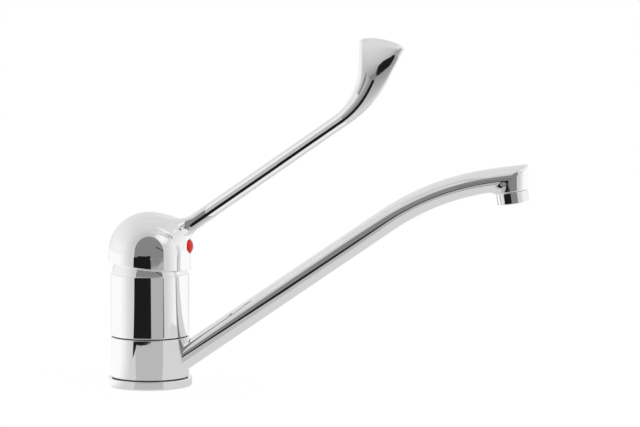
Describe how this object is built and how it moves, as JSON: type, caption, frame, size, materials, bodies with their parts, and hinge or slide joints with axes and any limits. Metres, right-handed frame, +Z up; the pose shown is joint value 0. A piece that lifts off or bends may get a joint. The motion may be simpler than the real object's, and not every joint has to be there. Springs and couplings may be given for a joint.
{
  "type": "basin mixer tap",
  "caption": "Chrome deck-mounted basin mixer tap with a domed cap, a long upward lever ending in a flared paddle, and a rising swivel spout with an aerator.",
  "frame": {"origin": "centre of the foot on the deck plane, on the axis that the spout and the handle turn about", "axes": "+Z up, +X towards the outlet and the lever with the tap closed, -Y is the user's left and the hot side"},
  "size_m": [0.2592, 0.0514, 0.2144],
  "materials": {
    "chrome": "bright polished chrome plate",
    "black_rubber": "matt",
    "white_plastic": "moulded acetal",
    "grey_plastic": "smooth moulded acetal",
    "stainless_steel": "bright drawn",
    "ceramic": "lapped",
    "brass": "turned",
    "red_plastic": "gloss",
    "blue_plastic": "gloss"
  },
  "bodies": {
    "body": {"mixer_body": "chrome", "base_flange": "chrome", "base_gasket": "black_rubber", "lower_glide_ring": "grey_plastic", "upper_glide_ring": "grey_plastic", "lower_spout_oring": "black_rubber", "upper_spout_oring": "black_rubber", "cartridge_base": "white_plastic", "inlet_seals": "black_rubber", "cartridge_housing": "white_plastic", "fixed_ceramic_disc": "ceramic", "cartridge_nut": "brass", "cover_ring": "chrome"},
    "spout": {"spout": "chrome", "aerator_shell": "chrome", "aerator_insert": "white_plastic", "aerator_screen": "stainless_steel", "aerator_washer": "black_rubber"},
    "rotor": {"stem_rotor": "white_plastic", "pivot_pin": "stainless_steel"},
    "handle": {"lever_handle": "chrome", "cartridge_stem": "stainless_steel", "handle_grub_screw": "stainless_steel", "indicator_hot": "red_plastic", "indicator_cold": "blue_plastic"},
    "disc": {"disc_carrier": "white_plastic", "moving_ceramic_disc": "ceramic"}
  },
  "joints": [
    {"name": "spout_swivel", "type": "hinge", "parent": "body", "child": "spout", "pos_m": [0, 0, 0.018], "axis": [0, 0, 1], "continuous": true},
    {"name": "handle_turn", "type": "hinge", "parent": "body", "child": "rotor", "pos_m": [0, 0, 0.066], "axis": [0, 0, 1], "range_deg": [-50, 50]},
    {"name": "lever_lift", "type": "hinge", "parent": "rotor", "child": "handle", "pos_m": [0, 0, 0.066], "axis": [0, -1, 0], "range_deg": [0, 24]},
    {"name": "disc_slide", "type": "slide", "parent": "rotor", "child": "disc", "axis": [1, 0, 0], "range_m": [0, 0.0045]}
  ],
  "couplings": [
    {"joint": "disc_slide", "follows": "lever_lift", "m_per_rad": 0.01043}
  ]
}
